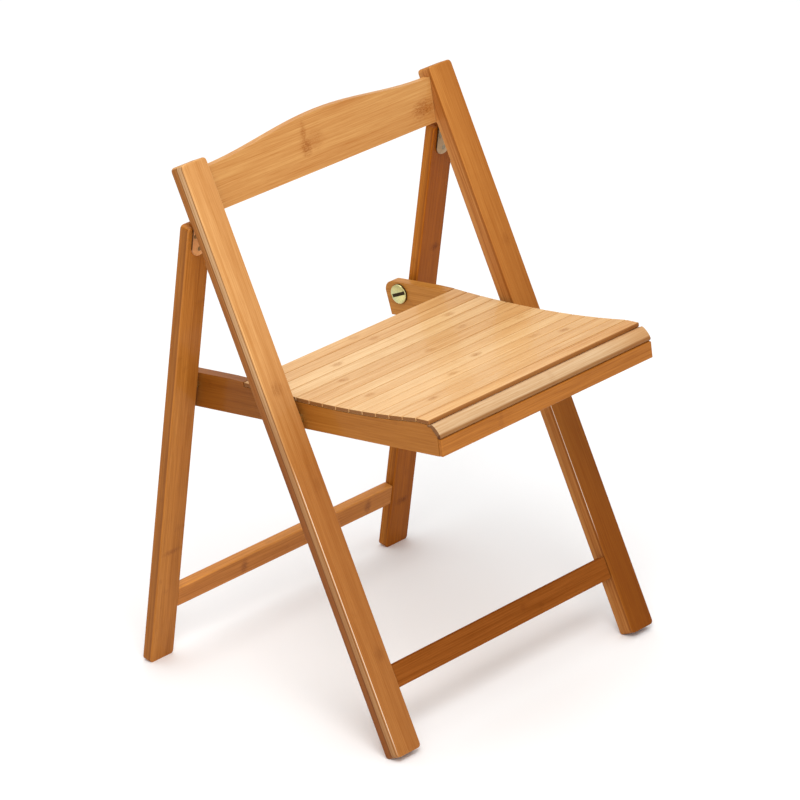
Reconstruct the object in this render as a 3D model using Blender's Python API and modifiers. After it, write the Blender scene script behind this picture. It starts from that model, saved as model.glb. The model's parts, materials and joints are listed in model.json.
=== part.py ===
"""Folding chair in laminated bamboo, standing open.

The chair faces -Y and stands on the XY plane. Left is -X.
Three groups move against each other:
  front_frame  two long stiles, backrest board, front stretcher
  rear_frame   two rear legs and their stretcher, hung on two butt hinges
  seat         two side rails, fourteen slats, a rounded front slat, an apron
"""
import math

import bmesh
import bpy
from mathutils import Matrix, Vector

MM = 0.001

# ---------------------------------------------------------------- sizes, mm
OVERALL_WIDTH = 400.0
FIT_GAP = 0.3            # gap kept between pieces that touch

# long stiles of the front frame
STILE_WIDTH = 34.0
STILE_THICK = 19.0
STILE_LENGTH = 636.5
STILE_LEAN = 25.46       # degrees from vertical, top to the back
END_CORNER = 4.2         # corner radius seen from the front
EDGE_ROUND = 1.3         # long edges

# rear legs
LEG_WIDTH = 34.0
LEG_THICK = 12.4
LEG_TOP = 521.9          # along the leg, from the foot datum
LEG_BOTTOM = -0.8
LEG_LEAN = 9.7           # degrees from vertical, foot to the back
LEG_FOOT_Y = 355.9       # foot datum on the leg's front face
LEG_FOOT_Z = -7.1

# placing: floor height and middle of the depth in the frame of the stiles
FLOOR_Z = -7.0
CENTRE_Y = 166.65

# stretchers
FRONT_STRETCHER = (63.9, 87.7)       # bottom and top, along the stile
FRONT_STRETCHER_SETBACK = 1.2
REAR_STRETCHER = (57.1, 80.5)        # bottom and top, along the leg
REAR_STRETCHER_SETBACK = 0.6
STRETCHER_THICK = 11.5
DOWEL_RADIUS = 4.0
DOWEL_REACH = 16.0       # each way from the joint

# backrest board, more upright than the stiles
BACK_LEAN = 8.7
BACK_THICK = 8.5
BACK_END_HEIGHT = 48.7
BACK_CROWN = 12.9
BACK_CROWN_HALF = 166.0
BACK_Y = 264.7           # lower front edge
BACK_Z = 515.6
BACK_DOWEL_RADIUS = 2.5
BACK_DOWEL_HEIGHTS = (34.5, 43.5)
BACK_DOWEL_REACH = 12.0

# seat: p runs back from the apron's face, q runs up from the rail's edge
SEAT_HALF = 160.5
SEAT_PITCH = 6.72        # degrees, the rails rise to the front
SEAT_Y = -34.8
SEAT_Z = 329.6
RAIL_THICK = 12.0
RAIL_DEPTH = 38.2
RAIL_END_LOW = 357.6
RAIL_END_HIGH = 362.4
RAIL_END_RADIUS = 11.0
APRON_THICK = 4.5
APRON_HEIGHT = 17.5
SLAT_COUNT = 14
SLAT_THICK = 4.5
SLAT_GAP = 0.45
CREST_GAP = 1.2          # the last slat tips forward and needs more room
SLAT_REAR_P = 271.4
SLAT_FRONT_P = 13.4
DISH_LOW = 31.5          # height of the slat tops in the hollow
DISH_LOW_P = 140.0
DISH_RADIUS_REAR = 1450.0
DISH_RADIUS_FRONT = 1150.0
SLAT_ROUND = 0.8
LAST_SLAT_FALL = 0.03    # slope of the last slat towards the nose
NOSE_LOWER = (0.6, 19.6)
NOSE_UPPER = (11.5, 32.2)
NOSE_EDGE = 2.6
NOSE_CROWN = 2.4
NOSE_LIP = (12.7, 16.6)  # ledge under the last slat, front and rear p
NOSE_LIP_TOP = (31.2, 30.8)
NOSE_LIP_LOW = 29.4

# butt hinges between stiles and rear legs
HINGE_ALONG = 523.5      # axis, along the leg
HINGE_OFFSET = 2.4       # axis, in front of the leg's front face
BARREL_RADIUS = 2.6
PIN_RADIUS = 1.2
LEAF_THICK = 1.5
LEAF_WIDTH = 22.0
LEAF_LENGTH = 36.0
LEAF_NOTCH = 3.3         # leaf edge kept clear of the other leaf's knuckle
KNUCKLE_MID = 7.4
NECK_INSET = 0.25        # the bend beside each knuckle is a little narrower
RECESS_DEPTH = 2.2
RECESS_BELOW = 37.6
RECESS_ABOVE = 5.6
BARREL_CUT = (5.5, 6.5)  # corner taken off the leg above the barrel, deep and down
BARREL_CUT_HALF = 11.8
SCREW_SPOTS = ((-7.0, 11.8), (7.0, 11.8), (0.0, 28.0))
SCREW_HEAD = 2.7
SCREW_RADIUS = 1.3
SCREW_LENGTH = 9.0

# seat pivots on the stiles
PIVOT_Q = 10.0
PIVOT_DEPTH = 11.0       # behind the stile's front face
BOLT_RADIUS = 3.0
PIVOT_HEAD = 7.0
PIVOT_HEAD_THICK = 3.0
PIVOT_END = 177.5
INSERT_RADIUS = 5.0
INSERT_END = 178.2
SPACER_RADIUS = 7.5

# sliding bolts at the rear of the rails, and their grooves in the legs
SLIDE_ALONG = 325.5
SLIDE_DEPTH = 6.8        # behind the leg's front face
SLIDE_HEAD = 11.0
SLIDE_HEAD_THICK = 3.6
SLIDE_SLOT_WIDTH = 3.8
SLIDE_SLOT_DEPTH = 1.7
SLIDE_SLOT_TURN = -66.0
SLIDE_COLLAR = 4.6
GROOVE_RADIUS = 3.4
GROOVE_DEPTH = 7.0

# ------------------------------------------------------------ derived sizes
INNER_X = OVERALL_WIDTH / 2 - STILE_WIDTH
SIDES = (("left", -1.0), ("right", 1.0))

# ---------------------------------------------------------------- materials
BAMBOO_FRAME = ("bamboo_frame", (0.58, 0.30, 0.11), 0.42, 0.0)
BAMBOO_SEAT = ("bamboo_seat", (0.80, 0.55, 0.28), 0.40, 0.0)
BAMBOO_EDGE = ("bamboo_edge", (0.45, 0.21, 0.07), 0.45, 0.0)
ZINC = ("yellow_zinc", (0.72, 0.62, 0.30), 0.30, 1.0)
STEEL = ("steel_screw", (0.42, 0.38, 0.30), 0.35, 1.0)
BRASS = ("brass_insert", (0.70, 0.52, 0.22), 0.32, 1.0)
BEECH = ("beech_dowel", (0.70, 0.52, 0.32), 0.60, 0.0)


def material(spec):
    """Return the named material, made once."""
    name, colour, roughness, metallic = spec
    found = bpy.data.materials.get(name)
    if found:
        return found
    mat = bpy.data.materials.new(name)
    mat.use_nodes = True
    shader = mat.node_tree.nodes["Principled BSDF"]
    shader.inputs["Base Color"].default_value = colour + (1.0,)
    shader.inputs["Roughness"].default_value = roughness
    shader.inputs["Metallic"].default_value = metallic
    mat.diffuse_color = colour + (1.0,)
    return mat


def clear_scene():
    """Remove everything the file holds in its scene."""
    for obj in list(bpy.data.objects):
        bpy.data.objects.remove(obj, do_unlink=True)
    for coll in list(bpy.data.collections):
        bpy.data.collections.remove(coll)


def axes(origin, back, up):
    """Frame with X across the chair, Y along back and Z along up (y, z pairs in mm)."""
    frame = Matrix.Identity(4)
    frame.col[0] = (1.0, 0.0, 0.0, 0.0)
    frame.col[1] = (0.0, back[0], back[1], 0.0)
    frame.col[2] = (0.0, up[0], up[1], 0.0)
    shift_y = (origin[0] - CENTRE_Y) * MM
    shift_z = (origin[1] - FLOOR_Z) * MM
    frame.col[3] = (0.0, shift_y, shift_z, 1.0)
    return frame


def rad(degrees):
    return math.radians(degrees)


LEAN = rad(STILE_LEAN)
REAR = rad(LEG_LEAN)
PITCH = rad(SEAT_PITCH)
BACK = rad(BACK_LEAN)
STILE_FRAME = axes((0.0, 0.0), (math.cos(LEAN), -math.sin(LEAN)), (math.sin(LEAN), math.cos(LEAN)))
LEG_FRAME = axes((LEG_FOOT_Y, LEG_FOOT_Z), (math.cos(REAR), math.sin(REAR)),
                 (-math.sin(REAR), math.cos(REAR)))
SEAT_FRAME = axes((SEAT_Y, SEAT_Z), (math.cos(PITCH), -math.sin(PITCH)), (math.sin(PITCH), math.cos(PITCH)))
BACK_FRAME = axes((BACK_Y, BACK_Z), (math.cos(BACK), -math.sin(BACK)), (math.sin(BACK), math.cos(BACK)))


def hinge_axis():
    """Hinge axis in world metres, on the middle plane."""
    return LEG_FRAME @ Vector((0.0, -HINGE_OFFSET * MM, HINGE_ALONG * MM))


def slide_axis():
    """Axis of the sliding bolts in world metres."""
    return LEG_FRAME @ Vector((0.0, SLIDE_DEPTH * MM, SLIDE_ALONG * MM))


def pivot_axis():
    """Seat pivot: on the stile at PIVOT_DEPTH, and on the rail at PIVOT_Q."""
    start = STILE_FRAME @ Vector((0.0, PIVOT_DEPTH * MM, 0.0))
    step = STILE_FRAME.to_3x3() @ Vector((0.0, 0.0, 1.0))
    seat_up = SEAT_FRAME.to_3x3() @ Vector((0.0, 0.0, 1.0))
    lift = PIVOT_Q * MM - (start - SEAT_FRAME.translation).dot(seat_up)
    return start + step * (lift / step.dot(seat_up))


HINGE = hinge_axis()
SLIDE = slide_axis()
PIVOT = pivot_axis()


def to_frame(frame, point):
    """Coordinates of a world point in a frame, in mm."""
    return (frame.inverted() @ point) / MM


# ------------------------------------------------------------ mesh builders
def box_into(bm, low, high):
    """Add a box to bm between two corners given in mm."""
    made = bmesh.ops.create_cube(bm, size=1.0)
    size = Vector(high) - Vector(low)
    middle = (Vector(high) + Vector(low)) / 2
    bmesh.ops.scale(bm, vec=size * MM, verts=made["verts"])
    bmesh.ops.translate(bm, vec=middle * MM, verts=made["verts"])
    return made["verts"]


def rod_into(bm, radius, x_low, x_high, y, z, sides=16):
    """Add a cylinder along X to bm, in mm."""
    made = bmesh.ops.create_cone(
        bm, cap_ends=True, cap_tris=False, segments=sides,
        radius1=radius * MM, radius2=radius * MM, depth=(x_high - x_low) * MM)
    turn = Matrix.Rotation(math.pi / 2, 4, "Y")
    place = Matrix.Translation(Vector(((x_low + x_high) / 2, y, z)) * MM)
    bmesh.ops.transform(bm, matrix=place @ turn, verts=made["verts"])
    return made["verts"]


def mesh_of(name, fill):
    """Make a mesh from a function that fills a bmesh."""
    bm = bmesh.new()
    fill(bm)
    bmesh.ops.recalc_face_normals(bm, faces=bm.faces)
    mesh = bpy.data.meshes.new(name)
    bm.to_mesh(mesh)
    bm.free()
    return mesh


def outline_mesh(name, points, low, high):
    """Flat outline of (y, z) points in mm, extruded along X from low to high."""
    curve = bpy.data.curves.new(name + "_outline", "CURVE")
    curve.dimensions = "2D"
    curve.fill_mode = "BOTH"
    curve.extrude = (high - low) / 2 * MM
    spline = curve.splines.new("POLY")
    spline.points.add(len(points) - 1)
    for slot, (a, b) in zip(spline.points, points):
        slot.co = (a * MM, b * MM, 0.0, 1.0)
    spline.use_cyclic_u = True
    holder = bpy.data.objects.new(name + "_outline", curve)
    bpy.context.scene.collection.objects.link(holder)
    bpy.context.view_layer.update()
    graph = bpy.context.evaluated_depsgraph_get()
    mesh = bpy.data.meshes.new_from_object(holder.evaluated_get(graph))
    mesh.name = name
    bpy.data.objects.remove(holder, do_unlink=True)
    bpy.data.curves.remove(curve)
    bm = bmesh.new()
    bm.from_mesh(mesh)
    bmesh.ops.remove_doubles(bm, verts=bm.verts, dist=1e-6)
    # the outline's own axes (a, b, thickness) become (Y, Z, X)
    for vert in bm.verts:
        a, b, c = vert.co
        vert.co = (c + (low + high) / 2 * MM, a, b)
    bmesh.ops.recalc_face_normals(bm, faces=bm.faces)
    bm.to_mesh(mesh)
    bm.free()
    mesh.materials.clear()
    return mesh


def turned_mesh(name, profile, closed=False):
    """Mesh of a turning profile, (radius, height) points in mm, down the outer side."""
    bm = bmesh.new()
    verts = [bm.verts.new((r * MM, 0.0, h * MM)) for r, h in profile]
    for first, second in zip(verts, verts[1:]):
        bm.edges.new((first, second))
    if closed:
        bm.edges.new((verts[-1], verts[0]))
    mesh = bpy.data.meshes.new(name)
    bm.to_mesh(mesh)
    bm.free()
    return mesh


def add_screw(obj, steps):
    """Turn the object's profile about its Z axis."""
    mod = obj.modifiers.new("Turn", "SCREW")
    mod.steps = steps
    mod.render_steps = steps
    mod.use_merge_vertices = True
    mod.merge_threshold = 0.00001
    mod.use_smooth_shade = True


def add_bevel(obj, width, segments=2, angle=40.0):
    """Round the sharp edges of an object."""
    mod = obj.modifiers.new("Edges", "BEVEL")
    mod.width = width * MM
    mod.segments = segments
    mod.limit_method = "ANGLE"
    mod.angle_limit = rad(angle)
    mod.use_clamp_overlap = True


def add_boolean(obj, other, operation="DIFFERENCE"):
    mod = obj.modifiers.new("Cut" if operation == "DIFFERENCE" else "Join", "BOOLEAN")
    mod.operation = operation
    mod.solver = "EXACT"
    mod.object = other


# ------------------------------------------------------------ scene helpers
class Chair:
    """Holds the collections and the three body empties."""

    def __init__(self):
        scene = bpy.context.scene
        self.parts = bpy.data.collections.new("folding_chair")
        self.cutters = bpy.data.collections.new("folding_chair_cutters")
        scene.collection.children.link(self.parts)
        scene.collection.children.link(self.cutters)
        self.bodies = {}
        for name, spot in (("front_frame", Vector((0.0, 0.0, 0.0))),
                           ("rear_frame", HINGE), ("seat", PIVOT)):
            empty = bpy.data.objects.new("body_" + name, None)
            empty.location = spot
            empty.empty_display_size = 0.05
            self.parts.objects.link(empty)
            self.bodies[name] = empty
        bpy.context.view_layer.update()

    def piece(self, name, mesh, frame, spec, body):
        """Make one named piece, parented to its body."""
        obj = bpy.data.objects.new(name, mesh)
        self.parts.objects.link(obj)
        if not mesh.materials:
            mesh.materials.append(material(spec))
        empty = self.bodies[body]
        obj.parent = empty
        obj.matrix_parent_inverse = Matrix.Translation(empty.location).inverted()
        obj.matrix_basis = frame
        return obj

    def cutter(self, name, mesh, frame):
        """Make one cutter, shown as wire and never rendered."""
        obj = bpy.data.objects.new(name, mesh)
        self.cutters.objects.link(obj)
        obj.matrix_basis = frame
        obj.display_type = "WIRE"
        obj.hide_render = True
        return obj


def side_span(sign, low, high):
    """Span along X on one side, from the inner to the outer distance."""
    if sign > 0:
        return low, high
    return -high, -low


def side_box(bm, sign, span, low, high):
    """Box on one side of the chair; span is its two distances from the middle."""
    x_low, x_high = side_span(sign, span[0], span[1])
    box_into(bm, (x_low, low[0], low[1]), (x_high, high[0], high[1]))


def side_rod(bm, sign, radius, span, centre, sides=16):
    x_low, x_high = side_span(sign, span[0], span[1])
    rod_into(bm, radius, x_low, x_high, centre[0], centre[1], sides)


def round_end_corners(bm, radius):
    """Round the four corners that show from the front of a long board."""
    edges = []
    for edge in bm.edges:
        run = edge.verts[1].co - edge.verts[0].co
        if abs(run.y) > 0.9 * run.length:
            edges.append(edge)
    bmesh.ops.bevel(bm, geom=edges, offset=radius * MM, segments=4, profile=0.5,
                    affect="EDGES", clamp_overlap=True)


def long_board_mesh(name, sign, width, thick, low, high):
    """Stile or leg: a board with rounded corners at both ends."""
    outer = OVERALL_WIDTH / 2

    def fill(bm):
        side_box(bm, sign, (outer - width, outer), (0.0, low), (thick, high))
        round_end_corners(bm, END_CORNER)
    return mesh_of(name, fill)


# ------------------------------------------------------------------- hinges
HINGE_IN_STILE = to_frame(STILE_FRAME, HINGE)
SEAT_IN_STILE = to_frame(STILE_FRAME, PIVOT)
SLIDE_IN_RAIL = to_frame(SEAT_FRAME, SLIDE)
PIVOT_IN_RAIL = to_frame(SEAT_FRAME, PIVOT)
HINGE_X = OVERALL_WIDTH / 2 - STILE_WIDTH / 2


def leaf_frame_leg():
    """Leg leaf: origin on the hinge axis, Y out of the wood, Z up the leg."""
    frame = LEG_FRAME.copy()
    frame.translation = HINGE
    flip = Matrix.Rotation(math.pi, 4, "Z")
    return frame @ flip


def leaf_frame_stile():
    """Stile leaf: origin on the hinge axis, Y out of the wood, Z up the stile."""
    frame = STILE_FRAME.copy()
    frame.translation = HINGE
    return frame


def leaf_levels(on_leg):
    """Distances of the leaf's two faces from the hinge axis, along its Y."""
    if on_leg:
        inner = -HINGE_OFFSET + 0.2
    else:
        inner = STILE_THICK - RECESS_DEPTH + FIT_GAP - HINGE_IN_STILE.y
    return inner, inner + LEAF_THICK


def leaf_plate(bm, inner, outer):
    """Leaf outline: straight at the knuckles, half round at its far end."""
    half = LEAF_WIDTH / 2
    centre = -(LEAF_LENGTH - half)
    steps = 10
    rim = []
    for step in range(steps + 1):
        turn = math.pi * step / steps
        rim.append((half * math.cos(turn), centre - half * math.sin(turn)))
    outline = [(-half, -LEAF_NOTCH), (half, -LEAF_NOTCH)] + rim
    low = [bm.verts.new(Vector((x, inner, z)) * MM) for x, z in outline]
    face = bm.faces.new(low)
    grown = bmesh.ops.extrude_face_region(bm, geom=[face])
    lifted = [item for item in grown["geom"] if isinstance(item, bmesh.types.BMVert)]
    bmesh.ops.translate(bm, vec=Vector((0.0, outer - inner, 0.0)) * MM, verts=lifted)


def knuckle_spans(on_leg):
    """Where a leaf's knuckles lie along the barrel."""
    half = LEAF_WIDTH / 2
    mid = KNUCKLE_MID / 2
    if on_leg:
        return ((-half, -mid - FIT_GAP), (mid + FIT_GAP, half))
    return ((-mid, mid),)


def screw_profile(grow, length):
    """Countersunk screw; its head's face is at height 0."""
    head = SCREW_HEAD + grow
    shank = SCREW_RADIUS + grow
    neck = -(SCREW_HEAD - SCREW_RADIUS)
    top = 0.05 + 20 * grow if grow else 0.0
    points = [(0.0, top), (head, top)]
    if grow:
        points.append((head, 0.0))
    points += [(shank, neck), (shank, -length + 1.5 - grow), (0.0, -length - grow)]
    return points


def hinge_leaf(chair, side, sign, on_leg):
    """One leaf with its knuckles, screws and the screws' holes."""
    kind = "leg" if on_leg else "stile"
    body = "rear_frame" if on_leg else "front_frame"
    frame = leaf_frame_leg() if on_leg else leaf_frame_stile()
    frame = Matrix.Translation((sign * HINGE_X * MM, 0.0, 0.0)) @ frame
    inner, outer = leaf_levels(on_leg)
    plate = mesh_of("hinge_leaf_" + kind, lambda bm: leaf_plate(bm, inner, outer))
    leaf = chair.piece("hinge_leaf_%s_%s" % (kind, side), plate, frame, ZINC, body)
    spans = knuckle_spans(on_leg)

    def barrel(bm):
        for low, high in spans:
            rod_into(bm, BARREL_RADIUS, low, high, 0.0, 0.0, 16)

    def neck(bm):
        for low, high in spans:
            box_into(bm, (low + NECK_INSET, inner, -LEAF_NOTCH - 1.0), (high - NECK_INSET, outer, 0.4))

    def bore(bm):
        rod_into(bm, PIN_RADIUS + FIT_GAP, -LEAF_WIDTH, LEAF_WIDTH, 0.0, 0.0, 12)

    label = "%s_%s" % (kind, side)
    add_boolean(leaf, chair.cutter("neck_" + label, mesh_of("neck", neck), frame), "UNION")
    add_boolean(leaf, chair.cutter("barrel_" + label, mesh_of("barrel", barrel), frame), "UNION")
    add_boolean(leaf, chair.cutter("bore_" + label, mesh_of("bore", bore), frame))
    holes = []
    for number, (across, down) in enumerate(SCREW_SPOTS, 1):
        spot = Vector((across, outer, -down)) * MM
        seat = frame @ Matrix.Translation(spot) @ Matrix.Rotation(-math.pi / 2, 4, "X")
        screw_mesh = turned_mesh("hinge_screw", screw_profile(0.0, SCREW_LENGTH))
        screw = chair.piece("hinge_screw_%s_%d" % (label, number), screw_mesh, seat, STEEL, body)
        add_screw(screw, 12)
        hole_mesh = turned_mesh("screw_hole", screw_profile(FIT_GAP, SCREW_LENGTH))
        hole = chair.cutter("screw_hole_%s_%d" % (label, number), hole_mesh, seat)
        add_screw(hole, 12)
        add_boolean(leaf, hole)
        holes.append(hole)
    return holes


def hinge_pin(chair, side, sign):
    """Pin through the three knuckles, with a low head at its outer end."""
    half = LEAF_WIDTH / 2
    profile = [(0.0, half + 0.9), (1.9, half + 0.9), (2.1, half + 0.3), (PIN_RADIUS, half + 0.3),
               (PIN_RADIUS, -half - 0.4), (0.0, -half - 0.4)]
    turn = Matrix.Rotation(sign * math.pi / 2, 4, "Y")
    spot = Matrix.Translation(HINGE + Vector((sign * HINGE_X * MM, 0.0, 0.0)))
    mesh = turned_mesh("hinge_pin", profile)
    pin = chair.piece("hinge_pin_" + side, mesh, spot @ turn, ZINC, "front_frame")
    add_screw(pin, 12)


# ------------------------------------------------------------- front frame
def floor_cutter(chair):
    """Trims the feet flat where they stand."""
    def fill(bm):
        box_into(bm, (-300.0, -400.0, -40.0), (300.0, 400.0, 0.0))
    return chair.cutter("floor_trim", mesh_of("floor_trim", fill), Matrix.Identity(4))


def back_dowel_spots():
    """Dowel centres in the backrest's frame, (back, up) in mm."""
    return [(BACK_THICK / 2, height) for height in BACK_DOWEL_HEIGHTS]


def stile(chair, side, sign, floor, hinge_holes):
    """Long stile with the hinge recess, pivot hole and dowel holes."""
    mesh = long_board_mesh("stile_" + side, sign, STILE_WIDTH, STILE_THICK, 0.0, STILE_LENGTH)
    obj = chair.piece("stile_" + side, mesh, STILE_FRAME, BAMBOO_FRAME, "front_frame")
    add_bevel(obj, EDGE_ROUND, 3, 50.0)
    stretcher_mid = sum(FRONT_STRETCHER) / 2
    stretcher_deep = FRONT_STRETCHER_SETBACK + STRETCHER_THICK / 2

    def fill(bm):
        outer = OVERALL_WIDTH / 2
        side_box(bm, sign, (outer - STILE_WIDTH - 1.0, outer + 1.0),
                 (STILE_THICK - RECESS_DEPTH, HINGE_IN_STILE.z - RECESS_BELOW),
                 (STILE_THICK + 4.0, HINGE_IN_STILE.z + RECESS_ABOVE))
        side_rod(bm, sign, INSERT_RADIUS + FIT_GAP, (INNER_X - 2.0, INSERT_END + 0.6),
                 (SEAT_IN_STILE.y, SEAT_IN_STILE.z))
        side_rod(bm, sign, DOWEL_RADIUS + FIT_GAP, (INNER_X - 2.0, INNER_X + DOWEL_REACH + 0.5),
                 (stretcher_deep, stretcher_mid), 12)
    add_boolean(obj, chair.cutter("stile_cut_" + side, mesh_of("stile_cut", fill), STILE_FRAME))

    def dowels(bm):
        for spot in back_dowel_spots():
            side_rod(bm, sign, BACK_DOWEL_RADIUS + FIT_GAP,
                     (INNER_X - 2.0, INNER_X + BACK_DOWEL_REACH + 0.5), spot, 12)
    add_boolean(obj, chair.cutter("stile_back_cut_" + side, mesh_of("back_cut", dowels), BACK_FRAME))
    for hole in hinge_holes:
        add_boolean(obj, hole)
    add_boolean(obj, floor)


def dowel(chair, name, sign, radius, reach, centre, frame, body):
    """Glued dowel across a joint at the inner face of a stile or leg."""
    low, high = side_span(sign, INNER_X - reach, INNER_X + reach)

    def fill(bm):
        rod_into(bm, radius, low, high, centre[0], centre[1], 12)
    chair.piece(name, mesh_of(name, fill), frame, BEECH, body)


def stretcher(chair, name, span, setback, frame, body):
    """Cross bar between two uprights, on one dowel at each end."""
    half = INNER_X - FIT_GAP
    centre = (setback + STRETCHER_THICK / 2, sum(span) / 2)

    def fill(bm):
        box_into(bm, (-half, setback, span[0]), (half, setback + STRETCHER_THICK, span[1]))
    obj = chair.piece(name, mesh_of(name, fill), frame, BAMBOO_FRAME, body)
    add_bevel(obj, 1.3, 2)

    def holes(bm):
        for _, sign in SIDES:
            side_rod(bm, sign, DOWEL_RADIUS + FIT_GAP, (INNER_X - DOWEL_REACH - 0.5, INNER_X + 4.0), centre, 12)
    add_boolean(obj, chair.cutter(name + "_cut", mesh_of("stretcher_cut", holes), frame))
    for side, sign in SIDES:
        dowel(chair, "%s_dowel_%s" % (name, side), sign, DOWEL_RADIUS, DOWEL_REACH, centre, frame, body)


def back_height(x):
    """Height of the backrest board at a distance x from the middle."""
    reach = min(abs(x) / BACK_CROWN_HALF, 1.0)
    return BACK_END_HEIGHT + BACK_CROWN * 0.5 * (1.0 + math.cos(math.pi * reach))


def backrest(chair):
    """Backrest board with its crowned top edge."""
    half = INNER_X - FIT_GAP
    steps = 28
    top = []
    for step in range(steps + 1):
        x = half - 2 * half * step / steps
        top.append((x, back_height(x)))
    outline = [(-half, 0.0), (half, 0.0)] + top
    mesh = outline_mesh("backrest_board", outline, 0.0, BACK_THICK)
    # the outline was drawn in (Y, Z) and extruded along X: turn it to face front
    for vert in mesh.vertices:
        x, y, z = vert.co
        vert.co = (y, x, z)
    mesh.flip_normals()
    obj = chair.piece("backrest_board", mesh, BACK_FRAME, BAMBOO_SEAT, "front_frame")
    add_bevel(obj, 1.5, 2, 60.0)

    def holes(bm):
        for _, sign in SIDES:
            for spot in back_dowel_spots():
                side_rod(bm, sign, BACK_DOWEL_RADIUS + FIT_GAP,
                         (INNER_X - BACK_DOWEL_REACH - 0.5, INNER_X + 4.0), spot, 12)
    add_boolean(obj, chair.cutter("backrest_cut", mesh_of("backrest_cut", holes), BACK_FRAME))
    for side, sign in SIDES:
        for label, spot in zip(("lower", "upper"), back_dowel_spots()):
            dowel(chair, "backrest_dowel_%s_%s" % (side, label), sign, BACK_DOWEL_RADIUS,
                  BACK_DOWEL_REACH, spot, BACK_FRAME, "front_frame")


# -------------------------------------------------------------- rear frame
def groove_length():
    """Travel of the sliding bolt along the leg as the chair folds flat."""
    radius = (SLIDE - PIVOT).length / MM
    closed_depth = HINGE_IN_STILE.y + HINGE_OFFSET + SLIDE_DEPTH
    offset = closed_depth - SEAT_IN_STILE.y
    closed_along = SEAT_IN_STILE.z - math.sqrt(radius * radius - offset * offset)
    return (HINGE_IN_STILE.z - closed_along) - (HINGE_ALONG - SLIDE_ALONG)


def rear_leg(chair, side, sign, floor, hinge_holes):
    """Rear leg with the groove that its sliding bolt runs in."""
    mesh = long_board_mesh("rear_leg_" + side, sign, LEG_WIDTH, LEG_THICK, LEG_BOTTOM, LEG_TOP)
    obj = chair.piece("rear_leg_" + side, mesh, LEG_FRAME, BAMBOO_FRAME, "rear_frame")
    add_bevel(obj, EDGE_ROUND, 3, 50.0)
    travel = groove_length()
    depth = (INNER_X - 2.0, INNER_X + GROOVE_DEPTH)
    low = SLIDE_ALONG - travel

    def fill(bm):
        centre = (REAR_STRETCHER_SETBACK + STRETCHER_THICK / 2, sum(REAR_STRETCHER) / 2)
        side_rod(bm, sign, DOWEL_RADIUS + FIT_GAP, (INNER_X - 2.0, INNER_X + DOWEL_REACH + 0.5), centre, 12)
    add_boolean(obj, chair.cutter("leg_cut_" + side, mesh_of("leg_cut", fill), LEG_FRAME))
    points = []
    for step in range(9):
        turn = math.pi * step / 8
        points.append((SLIDE_DEPTH + GROOVE_RADIUS * math.cos(turn), SLIDE_ALONG + GROOVE_RADIUS * math.sin(turn)))
    for step in range(9):
        turn = math.pi + math.pi * step / 8
        points.append((SLIDE_DEPTH + GROOVE_RADIUS * math.cos(turn), low + GROOVE_RADIUS * math.sin(turn)))
    x_low, x_high = side_span(sign, depth[0], depth[1])
    groove = outline_mesh("groove", points, x_low, x_high)
    add_boolean(obj, chair.cutter("groove_" + side, groove, LEG_FRAME))
    deep, down = BARREL_CUT
    corner = [(-1.0, LEG_TOP - down * (1.0 + 1.0 / deep)), (deep * (1.0 + 1.0 / down), LEG_TOP + 1.0),
              (-1.0, LEG_TOP + 1.0)]
    middle = sign * HINGE_X
    corner_mesh = outline_mesh("barrel_cut", corner, middle - BARREL_CUT_HALF, middle + BARREL_CUT_HALF)
    add_boolean(obj, chair.cutter("barrel_cut_" + side, corner_mesh, LEG_FRAME))
    for hole in hinge_holes:
        add_boolean(obj, hole)
    add_boolean(obj, floor)


# -------------------------------------------------------------------- seat
def slat_edges():
    """Where the slats meet, as p distances, rear to front."""
    pitch = (SLAT_REAR_P - SLAT_FRONT_P) / SLAT_COUNT
    return [SLAT_REAR_P - pitch * step for step in range(SLAT_COUNT + 1)]


def seat_top(p):
    """Height of the slats' top surface above the rail's lower edge."""
    if p > DISH_LOW_P:
        return DISH_LOW + (p - DISH_LOW_P) ** 2 / (2 * DISH_RADIUS_REAR)
    crest = slat_edges()[-2]
    if p < crest:
        return seat_top(crest) - LAST_SLAT_FALL * (crest - p)
    return DISH_LOW + (p - DISH_LOW_P) ** 2 / (2 * DISH_RADIUS_FRONT)


def nose_line():
    """Unit run and outward normal of the rounded front slat, as (p, q) pairs."""
    run = Vector((NOSE_UPPER[0] - NOSE_LOWER[0], NOSE_UPPER[1] - NOSE_LOWER[1]))
    length = run.length
    run.normalize()
    return run, Vector((-run.y, run.x)), length


def rail_outline():
    """Side view of a seat rail as (p, q) points."""
    run, out, _ = nose_line()
    front = APRON_THICK + FIT_GAP
    base = Vector(NOSE_LOWER) - out * (NOSE_EDGE + FIT_GAP)
    chamfer_low = base + run * ((front - base.x) / run.x)
    bed = SLAT_THICK + FIT_GAP
    edges = slat_edges()
    points = [(front, 0.0), (RAIL_END_LOW, 0.0)]
    slope = (RAIL_END_HIGH - RAIL_END_LOW) / 26.0
    end_turn = math.atan2(1.0, slope)
    centre_q = RAIL_DEPTH - RAIL_END_RADIUS
    centre_p = RAIL_END_LOW + slope * centre_q - RAIL_END_RADIUS / math.sin(end_turn)
    for step in range(7):
        turn = (math.pi / 2) * step / 6
        points.append((centre_p + RAIL_END_RADIUS * math.cos(turn), centre_q + RAIL_END_RADIUS * math.sin(turn)))
    shoulder = edges[0] + 0.5
    points.append((shoulder + 20.0, RAIL_DEPTH))
    points.append((shoulder, seat_top(edges[0])))
    points.append((shoulder, seat_top(edges[0]) - bed))
    for p in edges[1:-1]:
        points.append((p, seat_top(p) - bed))
    notch_p = NOSE_LIP[1] + FIT_GAP
    notch_q = NOSE_LIP_LOW - FIT_GAP
    notch = base + run * ((notch_q - base.y) / run.y)
    points.append((notch_p, seat_top(notch_p) - bed))
    points.append((notch_p, notch_q))
    points.append((notch.x, notch.y))
    points.append((chamfer_low.x, chamfer_low.y))
    return points


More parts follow.
